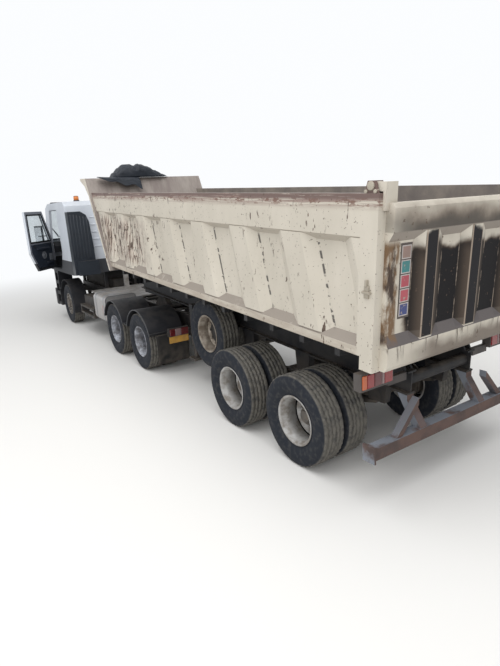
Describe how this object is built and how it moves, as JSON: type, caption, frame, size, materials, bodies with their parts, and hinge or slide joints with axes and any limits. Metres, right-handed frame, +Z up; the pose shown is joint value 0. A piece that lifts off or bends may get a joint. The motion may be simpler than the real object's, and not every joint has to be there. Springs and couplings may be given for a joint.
{
  "type": "articulated dump truck",
  "caption": "Cab-over tractor hinged to a tipping semi-trailer: steel bed with top-hung tailgate, front hoist, steered and driven wheels, opening doors and tilting cab.",
  "frame": {"origin": "on the ground below the centre of the overall box, which the open left door widens to the left", "axes": "+Z up, -Y forward, +X to the lorry's left"},
  "size_m": [3.6154, 12.6544, 3.7878],
  "materials": {
    "cab_white": "satin white paint, dusty",
    "cab_dark": "moulded plastic, dusty",
    "cab_trim": "woven cover",
    "glass": "clear",
    "chassis": "worn black paint with dust",
    "bed_paint": "cream paint, scratched and rusty",
    "gate_paint": "cream paint under soot and rust",
    "tyre": "road-worn tread",
    "tank_metal": "brushed, dented",
    "cast": "rough",
    "lamp": "clear-coated lens",
    "beacon": "amber lens",
    "sheet_cloth": "coated cloth",
    "chrome_rod": "polished"
  },
  "bodies": {
    "tractor": {"tractor_frame": "chassis", "fifth_wheel": "chassis", "engine_block": "cast", "front_bumper": "cab_dark", "steps_and_arches": "cab_dark", "side_tanks": "tank_metal", "battery_box": "chassis", "drive_fenders": "cab_dark", "catwalk": "tank_metal", "rear_lamp_bar": "lamp", "drive_axles": "cast", "front_axle": "cast"},
    "cab": {"cab_shell": "cab_white", "windscreen": "glass", "grille_panel": "cab_dark", "dashboard": "cab_dark", "seats": "cab_trim", "roof_visor": "cab_dark", "roof_units": "beacon", "air_intake": "cab_dark"},
    "door_left": {"door_left": "cab_white", "door_window_left": "glass"},
    "door_right": {"door_right": "cab_white", "door_window_right": "glass"},
    "trailer": {"trailer_frame": "chassis", "trailer_axles": "cast", "landing_legs": "chassis", "underrun_bar": "chassis", "tail_lamps": "lamp", "spare_wheel": "tyre"},
    "bed": {"bed_floor": "bed_paint", "bed_side_left": "bed_paint", "bed_side_right": "bed_paint", "headboard": "bed_paint", "tarpaulin": "sheet_cloth"},
    "tailgate": {"tailgate": "gate_paint"},
    "hoist_barrel": {"hoist_barrel": "chassis"},
    "knuckle_left": {"knuckle_left": "cast"},
    "steer_wheel_left": {"steer_wheel_left": "tyre"},
    "knuckle_right": {"knuckle_right": "cast"},
    "steer_wheel_right": {"steer_wheel_right": "tyre"},
    "drive_wheel_rear_left": {"drive_wheel_rear_left": "tyre"},
    "drive_wheel_rear_right": {"drive_wheel_rear_right": "tyre"},
    "drive_wheel_front_left": {"drive_wheel_front_left": "tyre"},
    "drive_wheel_front_right": {"drive_wheel_front_right": "tyre"},
    "trailer_wheel_rear_left": {"trailer_wheel_rear_left": "tyre"},
    "trailer_wheel_rear_right": {"trailer_wheel_rear_right": "tyre"},
    "trailer_wheel_front_left": {"trailer_wheel_front_left": "tyre"},
    "trailer_wheel_front_right": {"trailer_wheel_front_right": "tyre"},
    "hoist_stage_1": {"hoist_stage_1": "chrome_rod"},
    "hoist_stage_2": {"hoist_stage_2": "chrome_rod"},
    "hoist_stage_3": {"hoist_stage_3": "chrome_rod"},
    "hoist_stage_4": {"hoist_stage_4": "chrome_rod"}
  },
  "joints": [
    {"name": "kingpin", "type": "hinge", "parent": "tractor", "child": "trailer", "pos_m": [-0.185, -0.326, 1.22], "axis": [0, 0, 1], "range_deg": [-80, 80]},
    {"name": "cab_tilt", "type": "hinge", "parent": "tractor", "child": "cab", "pos_m": [-0.185, -6.026, 1.13], "axis": [1, 0, 0], "range_deg": [0, 60]},
    {"name": "door_left_swing", "type": "hinge", "parent": "cab", "child": "door_left", "pos_m": [1.058, -5.776, 2], "axis": [0, 0, 1], "range_deg": [-33, 42]},
    {"name": "door_right_swing", "type": "hinge", "parent": "cab", "child": "door_right", "pos_m": [-1.428, -5.776, 2], "axis": [0, 0, 1], "range_deg": [0, 75]},
    {"name": "steer_left", "type": "hinge", "parent": "tractor", "child": "knuckle_left", "pos_m": [0.605, -4.946, 0.525], "axis": [0, 0, 1], "range_deg": [-38, 38]},
    {"name": "steer_wheel_left_spin", "type": "hinge", "parent": "knuckle_left", "child": "steer_wheel_left", "pos_m": [0.855, -4.946, 0.525], "axis": [1, 0, 0], "continuous": true},
    {"name": "drive_wheel_rear_left_spin", "type": "hinge", "parent": "tractor", "child": "drive_wheel_rear_left", "pos_m": [0.915, 0.424, 0.525], "axis": [1, 0, 0], "continuous": true},
    {"name": "drive_wheel_front_left_spin", "type": "hinge", "parent": "tractor", "child": "drive_wheel_front_left", "pos_m": [0.915, -0.946, 0.525], "axis": [1, 0, 0], "continuous": true},
    {"name": "trailer_wheel_rear_left_spin", "type": "hinge", "parent": "trailer", "child": "trailer_wheel_rear_left", "pos_m": [0.915, 4.984, 0.525], "axis": [1, 0, 0], "continuous": true},
    {"name": "trailer_wheel_front_left_spin", "type": "hinge", "parent": "trailer", "child": "trailer_wheel_front_left", "pos_m": [0.915, 3.644, 0.525], "axis": [1, 0, 0], "continuous": true},
    {"name": "steer_right", "type": "hinge", "parent": "tractor", "child": "knuckle_right", "pos_m": [-0.975, -4.946, 0.525], "axis": [0, 0, 1], "range_deg": [-38, 38]},
    {"name": "steer_wheel_right_spin", "type": "hinge", "parent": "knuckle_right", "child": "steer_wheel_right", "pos_m": [-1.225, -4.946, 0.525], "axis": [1, 0, 0], "continuous": true},
    {"name": "drive_wheel_rear_right_spin", "type": "hinge", "parent": "tractor", "child": "drive_wheel_rear_right", "pos_m": [-1.285, 0.424, 0.525], "axis": [1, 0, 0], "continuous": true},
    {"name": "drive_wheel_front_right_spin", "type": "hinge", "parent": "tractor", "child": "drive_wheel_front_right", "pos_m": [-1.285, -0.946, 0.525], "axis": [1, 0, 0], "continuous": true},
    {"name": "trailer_wheel_rear_right_spin", "type": "hinge", "parent": "trailer", "child": "trailer_wheel_rear_right", "pos_m": [-1.285, 4.984, 0.525], "axis": [1, 0, 0], "continuous": true},
    {"name": "trailer_wheel_front_right_spin", "type": "hinge", "parent": "trailer", "child": "trailer_wheel_front_right", "pos_m": [-1.285, 3.644, 0.525], "axis": [1, 0, 0], "continuous": true},
    {"name": "bed_tip", "type": "hinge", "parent": "trailer", "child": "bed", "pos_m": [-0.185, 5.824, 1.25], "axis": [-1, 0, 0], "range_deg": [0, 45]},
    {"name": "tailgate_swing", "type": "hinge", "parent": "bed", "child": "tailgate", "pos_m": [-0.185, 6.11333, 2.94919], "axis": [1, 0, 0], "range_deg": [0, 70]},
    {"name": "hoist_swing", "type": "hinge", "parent": "trailer", "child": "hoist_barrel", "pos_m": [-0.185, -0.996, 1.5], "axis": [-1, 0, 0], "range_deg": [0, 44.31]},
    {"name": "hoist_slide_1", "type": "slide", "parent": "hoist_barrel", "child": "hoist_stage_1", "axis": [0, -0.3295, 0.9442], "range_m": [0, 1.31]},
    {"name": "hoist_slide_2", "type": "slide", "parent": "hoist_stage_1", "child": "hoist_stage_2", "axis": [0, -0.3295, 0.9442], "range_m": [0, 1.31]},
    {"name": "hoist_slide_3", "type": "slide", "parent": "hoist_stage_2", "child": "hoist_stage_3", "axis": [0, -0.3295, 0.9442], "range_m": [0, 1.31]},
    {"name": "hoist_slide_4", "type": "slide", "parent": "hoist_stage_3", "child": "hoist_stage_4", "axis": [0, -0.3295, 0.9442], "range_m": [0, 1.31]}
  ],
  "couplings": [
    {"joint": "steer_right", "follows": "steer_left", "ratio": 1},
    {"joint": "hoist_swing", "follows": "bed_tip", "ratio": 0.98017},
    {"joint": "hoist_slide_1", "follows": "bed_tip", "m_per_rad": 1.6625},
    {"joint": "hoist_slide_2", "follows": "bed_tip", "m_per_rad": 1.6625},
    {"joint": "hoist_slide_3", "follows": "bed_tip", "m_per_rad": 1.6625},
    {"joint": "hoist_slide_4", "follows": "bed_tip", "m_per_rad": 1.6625}
  ]
}
